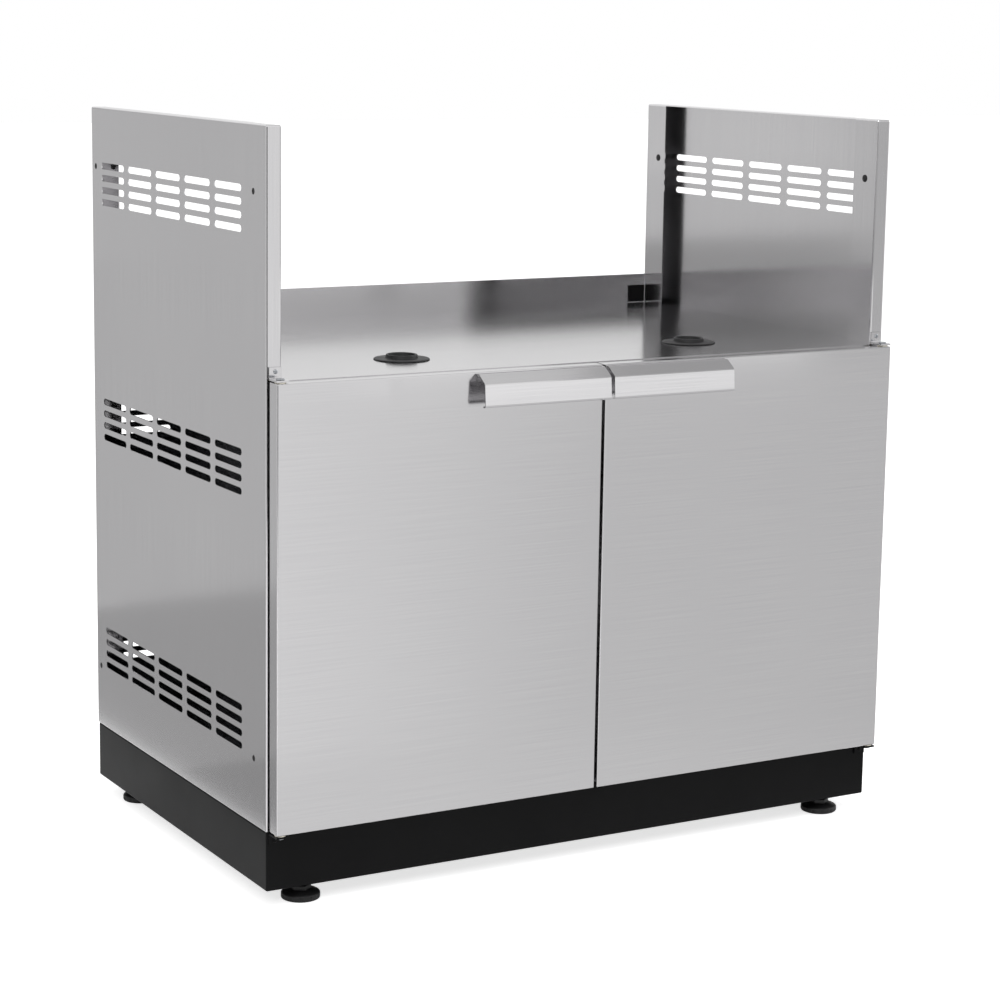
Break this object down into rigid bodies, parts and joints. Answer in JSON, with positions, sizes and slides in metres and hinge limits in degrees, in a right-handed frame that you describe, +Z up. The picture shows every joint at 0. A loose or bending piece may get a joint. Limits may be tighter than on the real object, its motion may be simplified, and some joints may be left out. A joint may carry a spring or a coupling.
{
  "type": "outdoor kitchen island",
  "caption": "Stainless outdoor kitchen base cabinet with a bay for a drop-in grill between vented side towers, a storage space behind hinged doors, and a black plinth on levelling feet.",
  "frame": {"origin": "centre of the footprint, doors and handles included, on the ground", "axes": "+Z up, -Y towards the doors, +X to the right seen from the front"},
  "size_m": [0.89, 0.5958, 0.9308],
  "materials": {
    "brushed_stainless": "brushed, satin",
    "inner_stainless": "brushed, duller inner sheet",
    "black_powder_coat": "satin black powder coat",
    "black_rubber": "matte moulded rubber",
    "zinc_plated_steel": "zinc plated",
    "white_nylon": "natural nylon",
    "black_plastic": "moulded, matte"
  },
  "bodies": {
    "cabinet": {"back_panel": "inner_stainless", "cord_pass_plug": "black_rubber", "floor_panel": "inner_stainless", "front_deck_brace": "inner_stainless", "front_left_foot_plate": "zinc_plated_steel", "front_right_foot_plate": "zinc_plated_steel", "grill_deck": "brushed_stainless", "header_rail": "inner_stainless", "left_bottom_bumper": "black_rubber", "left_bottom_hinge_leaf": "black_powder_coat", "left_bottom_hinge_pin": "zinc_plated_steel", "left_catch": "white_nylon", "left_deck_cleat": "inner_stainless", "left_hose_grommet": "black_rubber", "left_side_panel": "brushed_stainless", "left_top_bumper": "black_rubber", "left_top_hinge_leaf": "brushed_stainless", "left_top_hinge_pin": "zinc_plated_steel", "plinth": "black_powder_coat", "rear_deck_brace": "inner_stainless", "rear_left_foot_plate": "zinc_plated_steel", "rear_right_foot_plate": "zinc_plated_steel", "right_bottom_bumper": "black_rubber", "right_bottom_hinge_leaf": "black_powder_coat", "right_bottom_hinge_pin": "zinc_plated_steel", "right_catch": "white_nylon", "right_deck_cleat": "inner_stainless", "right_hose_grommet": "black_rubber", "right_side_panel": "brushed_stainless", "right_top_bumper": "black_rubber", "right_top_hinge_leaf": "brushed_stainless", "right_top_hinge_pin": "zinc_plated_steel"},
    "left_door": {"left_bottom_hinge_bush": "white_nylon", "left_door_handle": "brushed_stainless", "left_door_liner": "inner_stainless", "left_door_skin": "brushed_stainless", "left_door_strike": "zinc_plated_steel", "left_top_hinge_bush": "white_nylon"},
    "right_door": {"right_bottom_hinge_bush": "white_nylon", "right_door_handle": "brushed_stainless", "right_door_liner": "inner_stainless", "right_door_skin": "brushed_stainless", "right_door_strike": "zinc_plated_steel", "right_top_hinge_bush": "white_nylon"},
    "front_left_foot": {"front_left_foot_pad": "black_plastic", "front_left_foot_stud": "zinc_plated_steel"},
    "front_right_foot": {"front_right_foot_pad": "black_plastic", "front_right_foot_stud": "zinc_plated_steel"},
    "rear_left_foot": {"rear_left_foot_pad": "black_plastic", "rear_left_foot_stud": "zinc_plated_steel"},
    "rear_right_foot": {"rear_right_foot_pad": "black_plastic", "rear_right_foot_stud": "zinc_plated_steel"}
  },
  "joints": [
    {"name": "left_door_hinge", "type": "hinge", "parent": "cabinet", "child": "left_door", "pos_m": [-0.434, -0.268, 0.365], "axis": [0, 0, -1], "range_deg": [0, 110]},
    {"name": "right_door_hinge", "type": "hinge", "parent": "cabinet", "child": "right_door", "pos_m": [0.434, -0.268, 0.365], "axis": [0, 0, 1], "range_deg": [0, 110]},
    {"name": "front_left_foot_slide", "type": "slide", "parent": "cabinet", "child": "front_left_foot", "axis": [0, 0, -1], "range_m": [0, 0.02]},
    {"name": "front_right_foot_slide", "type": "slide", "parent": "cabinet", "child": "front_right_foot", "axis": [0, 0, -1], "range_m": [0, 0.02]},
    {"name": "rear_left_foot_slide", "type": "slide", "parent": "cabinet", "child": "rear_left_foot", "axis": [0, 0, -1], "range_m": [0, 0.02]},
    {"name": "rear_right_foot_slide", "type": "slide", "parent": "cabinet", "child": "rear_right_foot", "axis": [0, 0, -1], "range_m": [0, 0.02]}
  ]
}
